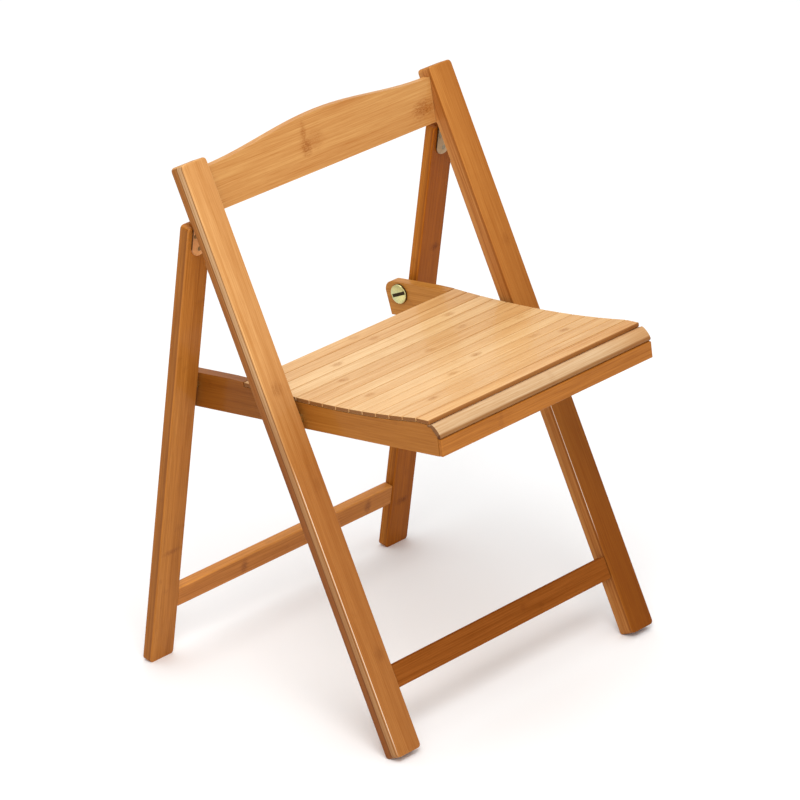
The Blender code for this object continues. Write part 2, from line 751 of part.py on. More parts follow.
def seat_rail(chair, side, sign):
    """Side rail: dished top, square front, chamfer for the nose, round rear corner."""
    low, high = side_span(sign, SEAT_HALF - RAIL_THICK, SEAT_HALF)
    mesh = outline_mesh("seat_rail_" + side, rail_outline(), low, high)
    obj = chair.piece("seat_rail_" + side, mesh, SEAT_FRAME, BAMBOO_EDGE, "seat")

    def holes(bm):
        side_rod(bm, sign, BOLT_RADIUS + FIT_GAP, (SEAT_HALF - RAIL_THICK - 2.0, SEAT_HALF + 2.0),
                 (PIVOT_IN_RAIL.y, PIVOT_IN_RAIL.z), 16)
        side_rod(bm, sign, BOLT_RADIUS + FIT_GAP, (SEAT_HALF - RAIL_THICK - 2.0, SEAT_HALF + 2.0),
                 (SLIDE_IN_RAIL.y, SLIDE_IN_RAIL.z), 16)
    add_boolean(obj, chair.cutter("rail_cut_" + side, mesh_of("rail_cut", holes), SEAT_FRAME))


def seat_slats(chair):
    """Fourteen slats, each flat on its own facet of the rails."""
    edges = slat_edges()
    for number in range(SLAT_COUNT):
        rear, front = edges[number], edges[number + 1]
        rear_q, front_q = seat_top(rear), seat_top(front)
        tilt = math.atan2(front_q - rear_q, rear - front)
        middle = Vector((0.0, (rear + front) / 2, (rear_q + front_q) / 2)) * MM
        length = math.hypot(rear - front, front_q - rear_q)
        spare = SLAT_GAP + (CREST_GAP if number == SLAT_COUNT - 1 else 0.0)
        half = (length - spare) / 2

        def fill(bm, half=half):
            box_into(bm, (-SEAT_HALF, -half, -SLAT_THICK), (SEAT_HALF, half, 0.0))
        frame = SEAT_FRAME @ Matrix.Translation(middle) @ Matrix.Rotation(-tilt, 4, "X")
        name = "seat_slat_%02d" % (number + 1)
        obj = chair.piece(name, mesh_of(name, fill), frame, BAMBOO_SEAT, "seat")
        add_bevel(obj, SLAT_ROUND, 2)


def seat_nose(chair):
    """Rounded slat on the rails' front chamfer, with a ledge under the last flat slat."""
    run, out, length = nose_line()
    start = Vector(NOSE_LOWER)
    points = []
    back_low = start - out * NOSE_EDGE
    back_high = back_low + run * ((NOSE_LIP_LOW - back_low.y) / run.y)
    points.append((back_low.x, back_low.y))
    points.append((back_high.x, back_high.y))
    points.append((NOSE_LIP[1], NOSE_LIP_LOW))
    points.append((NOSE_LIP[1], NOSE_LIP_TOP[1]))
    points.append((NOSE_LIP[0], NOSE_LIP_TOP[0]))
    steps = 12
    for step in range(steps + 1):
        along = length * (1.0 - step / steps)
        share = 2.0 * along / length - 1.0
        rise = NOSE_CROWN * math.sqrt(max(0.0, 1.0 - share ** 2))
        spot = start + run * along + out * rise
        points.append((spot.x, spot.y))
    mesh = outline_mesh("seat_nose_slat", points, -SEAT_HALF, SEAT_HALF)
    chair.piece("seat_nose_slat", mesh, SEAT_FRAME, BAMBOO_SEAT, "seat")


def seat_apron(chair):
    """Front board of the seat, fixed on the rails' square ends."""
    def fill(bm):
        box_into(bm, (-SEAT_HALF, 0.0, 0.0), (SEAT_HALF, APRON_THICK, APRON_HEIGHT))
    obj = chair.piece("seat_apron", mesh_of("seat_apron", fill), SEAT_FRAME, BAMBOO_EDGE, "seat")
    add_bevel(obj, 0.8, 2)


# --------------------------------------------------------------- fasteners
def across_frame(sign, point):
    """Frame on a cross axis: its Z points to the middle of the chair."""
    turn = Matrix.Rotation(-sign * math.pi / 2, 4, "Y")
    return Matrix.Translation(point) @ turn


def pivot_set(chair, side, sign):
    """Seat pivot: bolt through the rail, spacer, and a brass insert in the stile."""
    frame = across_frame(sign, PIVOT)
    face = -(SEAT_HALF - RAIL_THICK - FIT_GAP)
    top = face + PIVOT_HEAD_THICK
    profile = [(0.0, top), (PIVOT_HEAD - 1.6, top), (PIVOT_HEAD, top - 1.4), (PIVOT_HEAD, face),
               (BOLT_RADIUS, face), (BOLT_RADIUS, -PIVOT_END + 0.8), (BOLT_RADIUS - 0.8, -PIVOT_END),
               (0.0, -PIVOT_END)]
    bolt = chair.piece("pivot_bolt_" + side, turned_mesh("pivot_bolt", profile), frame, ZINC, "front_frame")
    add_screw(bolt, 16)
    inside = BOLT_RADIUS + FIT_GAP
    near = -(SEAT_HALF + FIT_GAP)
    far = -(INNER_X - FIT_GAP)
    ring = [(inside, near), (SPACER_RADIUS, near), (SPACER_RADIUS, far), (inside, far)]
    spacer = chair.piece("pivot_spacer_" + side, turned_mesh("pivot_spacer", ring, True), frame, ZINC, "front_frame")
    add_screw(spacer, 16)
    near = -(INNER_X + 0.2)
    far = -INSERT_END
    ring = [(inside, near), (INSERT_RADIUS, near), (INSERT_RADIUS, far), (inside, far)]
    insert = chair.piece("pivot_insert_" + side, turned_mesh("pivot_insert", ring, True), frame, BRASS, "front_frame")
    add_screw(insert, 16)


def slide_bolt(chair, side, sign):
    """Slotted bolt at the rear of a rail; its end faces the groove in the leg."""
    frame = across_frame(sign, SLIDE)
    face = -(SEAT_HALF - RAIL_THICK - FIT_GAP)
    top = face + SLIDE_HEAD_THICK
    collar = -(SEAT_HALF + FIT_GAP)
    end = -(INNER_X - 0.4)
    profile = [(0.0, top), (SLIDE_HEAD - 2.2, top), (SLIDE_HEAD - 0.5, top - 0.9), (SLIDE_HEAD, top - 2.0),
               (SLIDE_HEAD, face), (BOLT_RADIUS, face), (BOLT_RADIUS, collar), (SLIDE_COLLAR, collar),
               (SLIDE_COLLAR, end), (0.0, end)]
    bolt = chair.piece("slide_bolt_" + side, turned_mesh("slide_bolt", profile), frame, ZINC, "seat")
    add_screw(bolt, 24)

    def slot(bm):
        half = SLIDE_SLOT_WIDTH / 2
        box_into(bm, (-SLIDE_HEAD - 1.0, -half, top - SLIDE_SLOT_DEPTH), (SLIDE_HEAD + 1.0, half, top + 2.0))
    turn = Matrix.Rotation(rad(SLIDE_SLOT_TURN), 4, "Z")
    add_boolean(bolt, chair.cutter("slide_slot_" + side, mesh_of("slide_slot", slot), frame @ turn))


def smooth_round_pieces(chair):
    """Smooth shading on the turned pieces, flat across their sharp edges."""
    for obj in chair.parts.objects:
        if obj.type == "MESH" and obj.name.startswith(("hinge_", "pivot_", "slide_")):
            obj.data.shade_smooth()
            obj.data.set_sharp_from_angle(angle=rad(35.0))


def build():
    clear_scene()
    chair = Chair()
    floor = floor_cutter(chair)
    for side, sign in SIDES:
        leg_holes = hinge_leaf(chair, side, sign, True)
        stile_holes = hinge_leaf(chair, side, sign, False)
        hinge_pin(chair, side, sign)
        stile(chair, side, sign, floor, stile_holes)
        rear_leg(chair, side, sign, floor, leg_holes)
        seat_rail(chair, side, sign)
        pivot_set(chair, side, sign)
        slide_bolt(chair, side, sign)
    stretcher(chair, "front_stretcher", FRONT_STRETCHER, FRONT_STRETCHER_SETBACK, STILE_FRAME, "front_frame")
    stretcher(chair, "rear_stretcher", REAR_STRETCHER, REAR_STRETCHER_SETBACK, LEG_FRAME, "rear_frame")
    backrest(chair)
    seat_slats(chair)
    seat_nose(chair)
    seat_apron(chair)
    smooth_round_pieces(chair)
    bpy.context.view_layer.update()


build()
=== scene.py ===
"""Looks of the folding chair: bamboo members, plated fittings, light, floor and camera."""

import json
import math

import bmesh
import bpy
from mathutils import Matrix, Vector


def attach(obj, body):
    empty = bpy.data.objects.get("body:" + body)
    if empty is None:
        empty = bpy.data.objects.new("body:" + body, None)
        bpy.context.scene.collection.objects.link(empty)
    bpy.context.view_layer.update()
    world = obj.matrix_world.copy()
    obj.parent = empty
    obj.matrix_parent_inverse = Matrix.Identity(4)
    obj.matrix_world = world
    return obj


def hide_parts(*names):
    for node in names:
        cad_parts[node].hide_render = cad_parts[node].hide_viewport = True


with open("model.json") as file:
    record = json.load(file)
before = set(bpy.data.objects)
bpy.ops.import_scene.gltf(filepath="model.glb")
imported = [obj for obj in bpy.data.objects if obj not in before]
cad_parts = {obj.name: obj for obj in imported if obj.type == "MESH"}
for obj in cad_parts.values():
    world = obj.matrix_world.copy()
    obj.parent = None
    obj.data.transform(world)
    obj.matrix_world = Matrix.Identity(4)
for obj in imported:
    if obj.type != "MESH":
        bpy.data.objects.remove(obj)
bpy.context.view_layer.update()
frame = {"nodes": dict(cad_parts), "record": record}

MM = 0.001
# how the members lean or turn about X
STILE_LEAN = math.radians(25.46)
LEG_LEAN = math.radians(9.7)
SEAT_PITCH = math.radians(6.72)
BACK_LEAN = math.radians(8.7)
NOSE_TURN = math.radians(49.1)

# camera: direction, distance and target in metres, lens and sensor in millimetres
CAMERA_AZIMUTH = math.radians(-46.714)
CAMERA_ELEVATION = math.radians(23.714)
CAMERA_ROLL = math.radians(-1.673)
CAMERA_DISTANCE = 5.2787
CAMERA_TARGET = Vector((0.0581, 0.0604, 0.2509))
CAMERA_LENS = 225.7
CAMERA_SENSOR = 36.0
CAMERA_CLIP_END = 60.0

SIDES = ("left", "right")
SLAT_COUNT = 14

# ------------------------------------------------------------------ tones
# light and dark tones of each kind of bamboo strip, linear RGB
HONEY = ((0.62, 0.320, 0.102), (0.42, 0.145, 0.025))
STRAW = ((0.78, 0.430, 0.165), (0.46, 0.180, 0.038))
PALE = ((0.80, 0.560, 0.300), (0.58, 0.320, 0.120))
AMBER = ((0.56, 0.218, 0.042), (0.31, 0.095, 0.010))
BURNT = (0.16, 0.050, 0.010)
KNOT = (0.36, 0.135, 0.030)
DARK_KNOT = (0.21, 0.062, 0.012)
PALE_KNOT = (0.40, 0.165, 0.034)
BACK_KNOT = (0.34, 0.105, 0.016)
BEECH = ((0.66, 0.48, 0.30), (0.50, 0.33, 0.18))
PLAIN = (1.0, 1.0, 1.0)
SIDE_SHADE_TINT = (0.54, 0.37, 0.21)      # cast of the painted shade on one side of a piece
EDGE_HIGHLIGHT_TONE = (1.0, 0.86, 0.70)     # painted highlight along a rounded edge

# tones of plated metal: two of the plating, one of its dull patches
ZINC_TONES = ((0.72, 0.63, 0.27), (0.55, 0.54, 0.26), (0.66, 0.48, 0.22))
# the right hinges' darker tones are painted shade on the same plating as the left
GOLD_TONES_BY_LIGHT = {"left": ((0.84, 0.58, 0.38), (0.76, 0.50, 0.31), (0.58, 0.40, 0.22)),
              "right": ((0.46, 0.32, 0.19), (0.40, 0.26, 0.14), (0.32, 0.22, 0.12))}
DARK_STEEL = ((0.30, 0.24, 0.15), (0.22, 0.17, 0.11), (0.16, 0.12, 0.08))
BRASS_TONES = ((0.78, 0.56, 0.24), (0.70, 0.48, 0.20), (0.60, 0.40, 0.18))
GRIME = (0.16, 0.12, 0.06)
# painted shade: dark slot and rim of the bolt heads, dark long edges of the hinge leaves
PAINTED_SHADE_TONE = (0.035, 0.022, 0.010)
FLOOR_TONES = ((0.90, 0.90, 0.90), (0.94, 0.94, 0.94))

# how directly a face points sideways before it counts as a side face: from, to
SIDEWAYS = (0.55, 0.85)
# where a rounding between a front face and a side face is at its roundest, for the painted edge
# highlight: product of its normals
ROUNDEST = (0.42, 0.495)
COAT_ROUGHNESS = 0.14

# share of the warm tone in each seat slat, from the rear to the front
SLAT_WARMTH = (0.52, 0.40, 0.14, 0.04, 0.28, 0.36, 0.12, 0.32, 0.10, 0.38, 0.20, 0.40, 0.30, 0.58)
# where the culm nodes show on the slats: slat number, place along it in metres, strength
SLAT_MARKS = ((1, -0.005, 0.5), (2, 0.005, 0.6), (3, 0.10, 0.7), (3, -0.07, 0.9), (5, 0.08, 0.7),
              (5, -0.10, 0.9), (6, 0.01, 0.7), (8, -0.12, 0.8), (9, 0.02, 0.9), (10, -0.035, 0.7),
              (10, 0.09, 0.6), (11, 0.115, 0.9), (12, -0.105, 0.9), (7, 0.13, 0.4), (13, 0.06, 0.4))

# laminations seen on the two sides of a member: place from front (0) to rear (1), tint. Besides the
# laminations' own tones the tints hold painted light: outer faces darker and inner faces lighter as
# the light falls on them, a painted shadow by the front edge of the stiles' inner faces and a
# painted highlight strip by the front edge of the outer faces
STILE_OUTER = ((0.00, (0.96, 0.92, 0.86)), (0.09, (0.90, 0.85, 0.80)), (0.115, (0.40, 0.30, 0.20)),
               (0.15, (0.40, 0.30, 0.20)), (0.18, (0.74, 0.80, 1.02)), (0.48, (0.70, 0.75, 0.95)),
               (0.51, (0.34, 0.24, 0.14)), (0.56, (0.34, 0.24, 0.14)), (0.60, (0.52, 0.37, 0.21)),
               (1.00, (0.46, 0.33, 0.19)))
STILE_INNER = ((0.00, (0.66, 0.56, 0.46)), (0.10, (0.58, 0.48, 0.38)), (0.16, (0.56, 0.46, 0.36)),
               (0.21, (0.84, 0.84, 1.00)), (0.55, (0.88, 0.90, 1.12)), (0.57, (0.70, 0.66, 0.74)),
               (0.595, (0.70, 0.66, 0.74)), (0.62, (0.92, 0.98, 1.28)), (1.00, (0.88, 0.94, 1.22)))
LEG_OUTER = ((0.00, (1.02, 0.98, 0.90)), (0.10, (0.94, 0.90, 0.84)), (0.14, (0.58, 0.50, 0.40)),
             (0.55, (0.76, 0.70, 0.56)), (0.60, (0.53, 0.44, 0.34)), (0.65, (0.80, 0.73, 0.58)),
             (1.00, (0.74, 0.66, 0.50)))
LEG_INNER = ((0.00, (1.14, 1.20, 1.50)), (0.10, (1.12, 1.18, 1.55)), (0.14, (0.80, 0.82, 1.05)),
             (0.55, (1.10, 1.24, 1.85)), (0.60, (0.74, 0.74, 0.90)), (0.65, (1.16, 1.34, 2.05)),
             (1.00, (1.12, 1.28, 1.95)))


def blend(first, second, share):
    """Tones between two pairs of tones."""
    return tuple(tuple(p + (q - p) * share for p, q in zip(one, two))
                 for one, two in zip(first, second))


class Look:
    """What one piece of bamboo looks like."""

    def __init__(self, tones, seed, strip, layer, knots, spacing, marks=(), tint=PLAIN, ply_tints_and_light=(),
                 shade_fall=PLAIN, span=(-1.0, 1.0), side_shade_fall=0.3, side_shade=None, ends=0.2, contrast=1.0,
                 glue=0.34, coat=0.16, knot=KNOT, seam=0.0, gloss=0.05, edge_highlight=None):
        self.tones = tones          # light and dark tone
        self.seed = seed
        self.strip = strip          # width of a lamination across the piece
        self.layer = layer          # depth of a lamination
        self.knots = knots          # strength of the regular bamboo nodes
        self.spacing = spacing      # distance between nodes along a culm
        self.marks = marks          # single marks: (along, across, length, height, strength)
        self.tint = tint            # colour cast of the whole piece: its own tone, on some pieces painted shade or a painted sheen
        self.ply_tints_and_light = ply_tints_and_light          # ply tints on its -across and +across faces, with painted shade and light on them
        self.shade_fall = shade_fall            # painted shade: tint at one end of the grain axis
        self.span = span            # where that tint is full and where it ends, -1 to 1 along
        self.side_shade_fall = side_shade_fall  # share of that painted shade on the side faces
        self.side_shade = side_shade            # painted shade on one side: place across where it starts and ends, strength
        self.ends = ends            # darkness of the end grain
        self.contrast = contrast    # strength of the fibres and of the laminations' own tones
        self.glue = glue            # strength of the glue lines
        self.coat = coat            # strength of the varnish
        self.knot = knot            # tone of the culm nodes
        self.seam = seam            # darkness of its two long edges
        self.gloss = gloss          # specular level under the varnish
        self.edge_highlight = edge_highlight        # painted highlight on the rounded front edge: where it starts and ends, strength


# ------------------------------------------------------------- node helper
class Tree:
    """Short way to write shader nodes."""

    def __init__(self, tree):
        self.nodes = tree.nodes
        self.links = tree.links

    def node(self, kind, **settings):
        """New node with its settings."""
        made = self.nodes.new(kind)
        for key, value in settings.items():
            setattr(made, key, value)
        return made

    def put(self, socket, value):
        """Link a socket to an output, or set its number."""
        if isinstance(value, bpy.types.NodeSocket):
            self.links.new(value, socket)
        elif value is not None:
            socket.default_value = value

    def math(self, operation, first, second=None, clamp=False):
        made = self.node("ShaderNodeMath", operation=operation, use_clamp=clamp)
        for socket, value in zip(made.inputs, (first, second)):
            self.put(socket, value)
        return made.outputs[0]

    def times(self, first, second, clamp=False):
        return self.math("MULTIPLY", first, second, clamp)

    def plus(self, first, second, clamp=False):
        return self.math("ADD", first, second, clamp)

    def minus(self, first, second):
        return self.math("SUBTRACT", first, second)

    def size(self, value):
        return self.math("ABSOLUTE", value)

    def swing(self, value, reach):
        """A noise value turned into a swing about zero."""
        return self.times(self.minus(value, 0.5), reach)

    def ramp(self, value, low, high, to_low=0.0, to_high=1.0):
        """Smooth step from one range to another."""
        made = self.node("ShaderNodeMapRange", interpolation_type="SMOOTHSTEP")
        for name, item in (("Value", value), ("From Min", low), ("From Max", high),
                           ("To Min", to_low), ("To Max", to_high)):
            self.put(made.inputs[name], item)
        return made.outputs[0]

    def split(self, vector):
        """The x, y and z sockets of a vector."""
        made = self.node("ShaderNodeSeparateXYZ")
        self.put(made.inputs[0], vector)
        return made.outputs

    def join(self, x, y, z):
        made = self.node("ShaderNodeCombineXYZ")
        for socket, value in zip(made.inputs, (x, y, z)):
            self.put(socket, value)
        return made.outputs[0]

    def noise(self, vector, scale=1.0, detail=2.0, roughness=0.5, distortion=0.0):
        made = self.node("ShaderNodeTexNoise")
        self.put(made.inputs["Vector"], vector)
        self.put(made.inputs["Scale"], scale)
        self.put(made.inputs["Detail"], detail)
        self.put(made.inputs["Roughness"], roughness)
        self.put(made.inputs["Distortion"], distortion)
        return made.outputs[0]

    def random(self, vector):
        """A value from 0 to 1 for each point, with no smoothing between points."""
        made = self.node("ShaderNodeTexWhiteNoise", noise_dimensions="3D")
        self.put(made.inputs["Vector"], vector)
        return made.outputs["Value"]

    def mix(self, share, first, second, mode="MIX"):
        made = self.node("ShaderNodeMix", data_type="RGBA", blend_type=mode, clamp_factor=True)
        self.put(made.inputs[0], share)
        for socket, value in ((made.inputs[6], first), (made.inputs[7], second)):
            if isinstance(value, tuple):
                value = tuple(value) + (1.0,)
            self.put(socket, value)
        return made.outputs[2]

    def tinted(self, share, colour, tint):
        """A colour, multiplied by a tint to a share."""
        return self.mix(share, colour, self.mix(1.0, colour, tint, "MULTIPLY"))

    def stretched(self, vector, scale):
        """A point with its three numbers scaled one by one."""
        return self.join(*(self.times(part, by) for part, by in zip(vector, scale)))


def new_material(name):
    """Material with one Principled shader; returns it, its Tree and the shader."""
    mat = bpy.data.materials.new(name)
    mat.use_nodes = True
    shader = mat.node_tree.nodes["Principled BSDF"]
    return mat, Tree(mat.node_tree), shader


# -------------------------------------------------------- bamboo, as nodes
def bamboo_group():
    """Node group: a bamboo lamination pattern from (across, depth, along) in metres."""
    group = bpy.data.node_groups.new("bamboo", "ShaderNodeTree")
    face = group.interface
    for way, kind, names in (
            ("INPUT", "NodeSocketVector", ("Position", "Normal", "Half")),
            ("INPUT", "NodeSocketColor", ("Light", "Dark", "Burnt", "Knot")),
            ("INPUT", "NodeSocketFloat", ("Seed", "Strip", "Layer", "Knots", "Spacing", "Mark",
                                          "Contrast", "Ends", "Glue", "Seam")),
            ("OUTPUT", "NodeSocketColor", ("Color",)),
            ("OUTPUT", "NodeSocketFloat", ("Roughness", "Height"))):
        for name in names:
            face.new_socket(name, in_out=way, socket_type=kind)
    t = Tree(group)
    source = t.node("NodeGroupInput").outputs
    seed = source["Seed"]
    across, depth, along = t.split(source["Position"])

    # the laminations, with a little wander in their glue lines
    wander = t.swing(t.noise(t.join(seed, 0.0, along), 9.0, 1.0), 0.8 * MM)
    column = t.math("DIVIDE", t.plus(across, wander), source["Strip"])
    column = t.plus(column, t.math("FRACT", t.times(seed, 0.37)))
    row = t.plus(t.math("DIVIDE", depth, source["Layer"]), 0.5)
    strip_x = t.math("FLOOR", column)
    strip_y = t.math("FLOOR", row)
    cell = t.random(t.join(strip_x, strip_y, seed))
    layer = t.random(t.join(11.0, strip_y, seed))
    where = t.math("FRACT", column)
    seam = t.times(t.math("MINIMUM", where, t.minus(1.0, where)), source["Strip"])
    deep = t.math("FRACT", row)
    seam_deep = t.times(t.math("MINIMUM", deep, t.minus(1.0, deep)), source["Layer"])
    glue = t.ramp(t.math("MINIMUM", seam, seam_deep), 0.0, 0.35 * MM, 1.0, 0.0)

    # fibres: long thin streaks, each lamination with its own
    own = (t.plus(across, t.times(cell, 0.7)), depth, along)
    fine = t.noise(t.stretched(own, (950.0, 950.0, 17.0)), 1.0, 3.0, 0.62)
    mid = t.noise(t.stretched(own, (330.0, 330.0, 5.0)), 1.0, 2.5, 0.55, 0.25)
    wide = t.noise(t.stretched((t.plus(across, seed), depth, along), (60.0, 60.0, 5.0)),
                   1.0, 2.0, 0.5)
    vessel = t.ramp(t.noise(t.stretched(own, (1900.0, 1900.0, 75.0)), 1.0, 1.0), 0.60, 0.74)

    # the culm's nodes: a dark ragged band once every spacing in each lamination
    phase = t.math("DIVIDE", t.plus(along, t.times(cell, source["Spacing"])), source["Spacing"])
    shiver = t.noise(t.join(t.times(across, 300.0), seed, t.times(along, 90.0)), 1.0, 2.0)
    phase = t.plus(phase, t.swing(shiver, 0.05))
    away = t.times(t.size(t.minus(t.math("FRACT", phase), 0.5)), source["Spacing"])
    lens = t.size(t.minus(where, t.plus(0.3, t.times(cell, 0.4))))
    band = t.ramp(t.plus(away, t.times(lens, 6.0 * MM)), 1.2 * MM, 6.2 * MM, 1.0, 0.0)
    band = t.times(band, source["Knots"])
    mottle = t.noise(t.stretched((across, depth, along), (1150.0, 900.0, 420.0)),
                     1.0, 2.0, 0.6, 1.2)
    mottle = t.ramp(mottle, 0.36, 0.66)
    knot = t.math("MAXIMUM", band, source["Mark"])
    knot = t.times(knot, t.plus(0.35, t.times(mottle, 0.65)), clamp=True)

    # end grain: dotted bundles instead of streaks
    end = t.ramp(t.size(t.split(source["Normal"])[2]), 0.72, 0.93)
    dots = t.node("ShaderNodeTexVoronoi")
    t.put(dots.inputs["Vector"], t.join(t.times(across, 1500.0), t.times(depth, 1500.0), seed))
    bundle = t.ramp(dots.outputs["Distance"], 0.18, 0.5)

    # edges handled most: a little paler and duller
    inside_x, inside_y, inside_z = (
        t.minus(half, t.size(part))
        for half, part in zip(t.split(source["Half"]), (across, depth, along)))
    near_x = t.ramp(inside_x, 0.0, 2.6 * MM, 1.0, 0.0)
    near_y = t.ramp(inside_y, 0.0, 2.6 * MM, 1.0, 0.0)
    near_z = t.ramp(inside_z, 0.0, 3.5 * MM, 1.0, 0.0)
    corner = t.math("MAXIMUM", t.times(near_x, near_y),
                    t.times(near_z, t.math("MAXIMUM", near_x, near_y)))
    wear = t.times(corner, t.ramp(wide, 0.42, 0.62, 0.15, 0.75))
    wear = t.times(wear, t.minus(1.0, t.times(end, 0.8)))

    # colour: each pattern swings the tone by its own reach
    tone = t.swing(fine, 1.60)
    for pattern, reach in ((mid, 0.85), (wide, 0.55), (cell, 0.22), (layer, 0.16)):
        tone = t.plus(tone, t.swing(pattern, reach))
    tone = t.plus(tone, t.times(vessel, 0.20))
    tone = t.plus(0.38, t.times(tone, source["Contrast"]), clamp=True)
    colour = t.mix(tone, source["Light"], source["Dark"])
    colour = t.mix(t.times(glue, source["Glue"]), colour, source["Dark"])
    brink = t.ramp(inside_x, 0.2 * MM, 0.9 * MM, 1.0, 0.0)
    colour = t.mix(t.times(brink, source["Seam"]), colour, source["Knot"])
    streaky = t.plus(0.55, t.times(fine, 0.9))
    colour = t.mix(t.times(knot, streaky, clamp=True), colour, source["Knot"])
    deepest = t.times(t.ramp(knot, 0.55, 1.0), t.ramp(fine, 0.42, 0.70))
    colour = t.mix(t.times(deepest, 0.5), colour, source["Burnt"])
    ends = t.mix(t.times(bundle, 0.20), source["Burnt"], source["Dark"])
    colour = t.mix(t.times(end, source["Ends"]), colour, ends)
    colour = t.mix(t.times(wear, 0.28), colour, source["Light"])

    # roughness and relief
    rough = t.plus(0.37, t.swing(fine, 0.16))
    rough = t.plus(rough, t.times(wide, 0.08))
    rough = t.plus(rough, t.times(end, 0.22))
    rough = t.plus(rough, t.times(wear, 0.14), clamp=True)
    height = t.plus(t.times(fine, 0.30), t.times(mid, 0.45))
    height = t.minus(height, t.times(glue, 0.8))
    height = t.minus(height, t.times(t.times(knot, mottle), 0.7))
    height = t.minus(height, t.times(t.times(end, bundle), 0.5))
    sink = t.node("NodeGroupOutput")
    t.put(sink.inputs["Color"], colour)
    t.put(sink.inputs["Roughness"], rough)
    t.put(sink.inputs["Height"], height)
    return group


BAMBOO = bamboo_group()


def marks_mask(t, across, along, marks):
    """Strength of the single marks of a piece: soft ellipses along the grain."""
    total = 0.0
    ragged = t.noise(t.join(t.times(across, 420.0), 0.0, t.times(along, 160.0)), 1.0, 3.0, 0.6)
    ragged = t.swing(ragged, 1.5)
    for mark_along, mark_across, length, height, strength in marks:
        u = t.math("DIVIDE", t.minus(along, mark_along), length)
        v = t.math("DIVIDE", t.minus(across, mark_across), height)
        reach = t.math("SQRT", t.plus(t.times(u, u), t.times(v, v)))
        spot = t.ramp(t.plus(reach, ragged), 0.25, 1.25, strength, 0.0)
        total = t.math("MAXIMUM", total, spot)
    return total


def bamboo_material(name, look, grain, half):
    """Bamboo for one piece. grain names the local axes that run across, deep and along."""
    mat, t, shader = new_material(name)
    place = t.node("ShaderNodeTexCoord")
    axes = dict(zip("xyz", t.split(place.outputs["Object"])))
    normals = dict(zip("xyz", t.split(place.outputs["Normal"])))
    halves = dict(zip("xyz", half))
    across, depth, along = (axes[letter] for letter in grain)
    half_across, half_depth, half_along = (halves[letter] for letter in grain)
    facing = normals[grain[0]]
    made = t.node("ShaderNodeGroup", node_tree=BAMBOO)
    t.put(made.inputs["Position"], t.join(across, depth, along))
    t.put(made.inputs["Normal"], t.join(*(normals[letter] for letter in grain)))
    made.inputs["Half"].default_value = (half_across, half_depth, half_along)
    for key, tone in (("Light", look.tones[0]), ("Dark", look.tones[1]), ("Burnt", BURNT),
                      ("Knot", look.knot)):
        made.inputs[key].default_value = tone + (1.0,)
    for key in ("Seed", "Strip", "Layer", "Knots", "Spacing", "Contrast", "Ends", "Glue", "Seam"):
        made.inputs[key].default_value = getattr(look, key.lower())
    if look.marks:
        t.put(made.inputs["Mark"], marks_mask(t, across, along, look.marks))
    colour = made.outputs["Color"]
    if look.tint != PLAIN:
        colour = t.mix(1.0, colour, look.tint, "MULTIPLY")
    # ply tints with painted shade and light on the side faces
    if look.ply_tints_and_light:
        colour = ply_tints_and_light(t, colour, look.ply_tints_and_light, depth, facing, half_depth)
    # painted shade: the piece darker towards one end of its grain axis
    if look.shade_fall != PLAIN:
        start, stop = look.span
        low = t.ramp(along, half_along * start, half_along * stop, 1.0, 0.0)
        if look.ply_tints_and_light:
            low = t.times(low, t.ramp(t.size(facing), *SIDEWAYS, 1.0, look.side_shade_fall))
        colour = t.tinted(low, colour, look.shade_fall)
    # painted shade: the piece darker towards one side across
    if look.side_shade:
        start, stop, strength = look.side_shade
        share = t.math("DIVIDE", across, half_across)
        if start < stop:
            drift = t.ramp(share, start, stop, 0.0, strength)
        else:
            drift = t.ramp(share, stop, start, strength, 0.0)
        colour = t.tinted(drift, colour, SIDE_SHADE_TINT)
    # painted highlight along the rounded front -X edge
    if look.edge_highlight:
        colour = paint_edge_highlight(t, colour, look.edge_highlight, normals, t.math("DIVIDE", along, half_along))
    t.put(shader.inputs["Base Color"], colour)
    t.put(shader.inputs["Roughness"], made.outputs["Roughness"])
    relief(t, shader, made.outputs["Height"], 0.30, 0.22 * MM)
    shader.inputs["Coat Weight"].default_value = look.coat
    shader.inputs["Coat Roughness"].default_value = COAT_ROUGHNESS
    shader.inputs["Specular IOR Level"].default_value = look.gloss
    return mat


def relief(t, shader, height, strength, distance):
    """Bump of a shader from a height."""
    bump = t.node("ShaderNodeBump")
    bump.inputs["Strength"].default_value = strength
    bump.inputs["Distance"].default_value = distance
    t.put(bump.inputs["Height"], height)
    t.put(shader.inputs["Normal"], bump.outputs["Normal"])


def ply_tints_and_light(t, colour, pair, depth, facing, half):
    """Tint the two side faces ply by ply, from the front of the member to its rear, with painted
    shade and light on those faces.
    """
    place = t.plus(t.math("DIVIDE", depth, 2.0 * half), 0.5, clamp=True)
    for sign, tints in zip((-1.0, 1.0), pair):
        ramp = t.node("ShaderNodeValToRGB")
        stops = ramp.color_ramp.elements
        while len(stops) < len(tints):
            stops.new(0.5)
        for stop, (position, tint) in zip(stops, tints):
            stop.position = position
            stop.color = tint + (1.0,)
        t.put(ramp.inputs[0], place)
        colour = t.tinted(t.ramp(t.times(facing, sign), *SIDEWAYS), colour, ramp.outputs[0])
    return colour


def paint_edge_highlight(t, colour, edge_highlight, normals, share):
    """Painted highlight on the rounding between a member's front face and its -X face."""
    start, end, strength = edge_highlight
    fade = 0.06
    turned = t.times(normals["x"], normals["y"])
    edge = t.times(t.ramp(turned, *ROUNDEST), t.ramp(normals["y"], -0.3, -0.1, 1.0, 0.0))
    edge = t.times(edge, t.ramp(share, start - fade, start + fade))
    edge = t.times(edge, t.ramp(share, end - fade, end + fade, strength, 0.0))
    return t.mix(edge, colour, EDGE_HIGHLIGHT_TONE)


